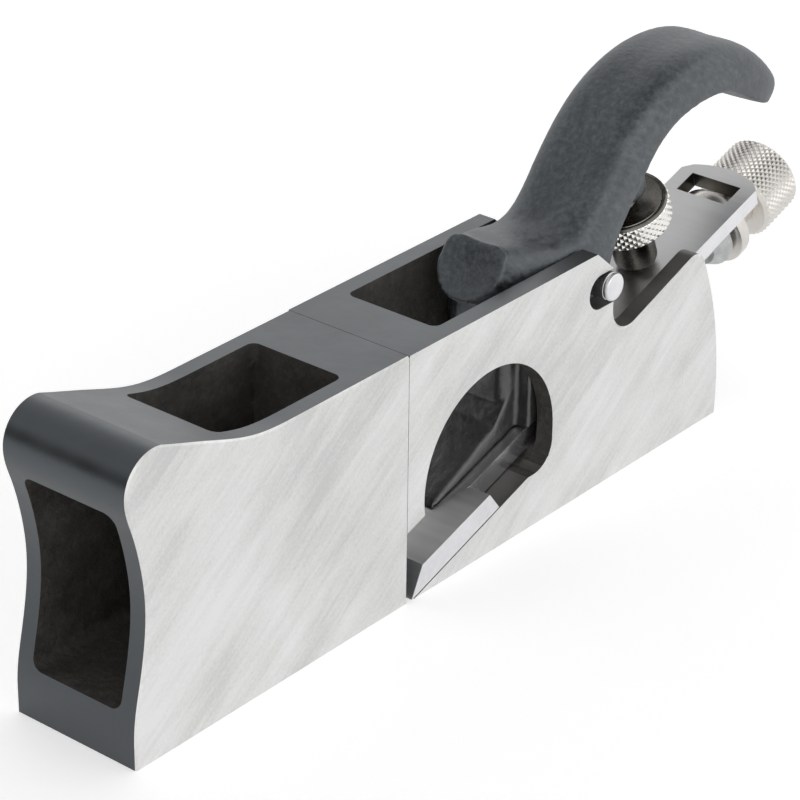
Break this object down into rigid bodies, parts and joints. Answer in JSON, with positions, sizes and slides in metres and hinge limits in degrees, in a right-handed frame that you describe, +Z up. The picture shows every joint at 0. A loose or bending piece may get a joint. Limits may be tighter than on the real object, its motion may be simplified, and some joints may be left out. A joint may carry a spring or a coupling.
{
  "type": "hand plane",
  "caption": "Three-in-one shoulder plane: iron body with a removable nose, low-angle cutting iron, hooked lever cap on a cross pin, knurled clamping screw and depth adjuster.",
  "frame": {"origin": "middle of the sole, on the sole plane", "axes": "+X forward along the sole, from the heel to the nose; +Z up, square to the sole; +Y across, to the left of a user who looks forward"},
  "size_m": [0.1862, 0.0282, 0.07],
  "materials": {
    "casting": "ground bright on sole and cheeks, satin grey paint elsewhere",
    "cap_casting": "fine cast, satin grey paint",
    "blade": "satin ground",
    "nickel": "satin nickel, diamond knurl",
    "cap_screw": "polished nickel, diamond knurl",
    "pin": "turned bright",
    "spindle": "threaded, oiled",
    "washer": "satin",
    "dowel": "ground",
    "black_screw": "black oxide"
  },
  "bodies": {
    "body": {"rear_body": "casting", "dowel_pin_left": "dowel", "dowel_pin_right": "dowel"},
    "nose": {"nose_body": "casting", "nose_washer": "washer"},
    "nose_screw": {"nose_screw": "black_screw"},
    "blade": {"blade": "blade"},
    "adjuster": {"adjuster_knob": "nickel", "adjuster_spindle": "spindle", "adjuster_collar": "nickel"},
    "lever_cap": {"lever_cap": "cap_casting", "lever_cap_pin": "pin"},
    "cap_screw": {"cap_screw_stud": "spindle"},
    "cap_knob": {"cap_screw_knob": "cap_screw"}
  },
  "joints": [
    {"name": "nose_slide", "type": "slide", "parent": "body", "child": "nose", "axis": [1, 0, 0], "range_m": [0, 0.018]},
    {"name": "nose_screw_spin", "type": "hinge", "parent": "nose", "child": "nose_screw", "pos_m": [0.0266, 0, 0.0295], "axis": [1, 0, 0], "continuous": true},
    {"name": "blade_slide", "type": "slide", "parent": "body", "child": "blade", "axis": [0.9489, 0, -0.3156], "range_m": [-0.004, 0.0008]},
    {"name": "adjuster_spin", "type": "hinge", "parent": "blade", "child": "adjuster", "pos_m": [-0.09535, 0, 0.02998], "axis": [0.9489, 0, -0.3156], "range_deg": [-1440, 288]},
    {"name": "cap_tilt", "type": "hinge", "parent": "body", "child": "lever_cap", "pos_m": [-0.0408, 0, 0.0385], "axis": [0, -1, 0], "range_deg": [0, 4.85]},
    {"name": "cap_screw_travel", "type": "slide", "parent": "lever_cap", "child": "cap_screw", "axis": [0.3746, 0, 0.9272], "range_m": [0, 0.00201]},
    {"name": "cap_knob_spin", "type": "hinge", "parent": "cap_screw", "child": "cap_knob", "pos_m": [-0.0672, 0, 0.02975], "axis": [0.3746, 0, 0.9272], "range_deg": [0, 900]}
  ],
  "couplings": [
    {"joint": "blade_slide", "follows": "adjuster_spin", "m_per_rad": 0.00015915},
    {"joint": "cap_screw_travel", "follows": "cap_knob_spin", "m_per_rad": 0.00012732},
    {"joint": "cap_tilt", "follows": "cap_knob_spin", "ratio": 0.0053476}
  ]
}
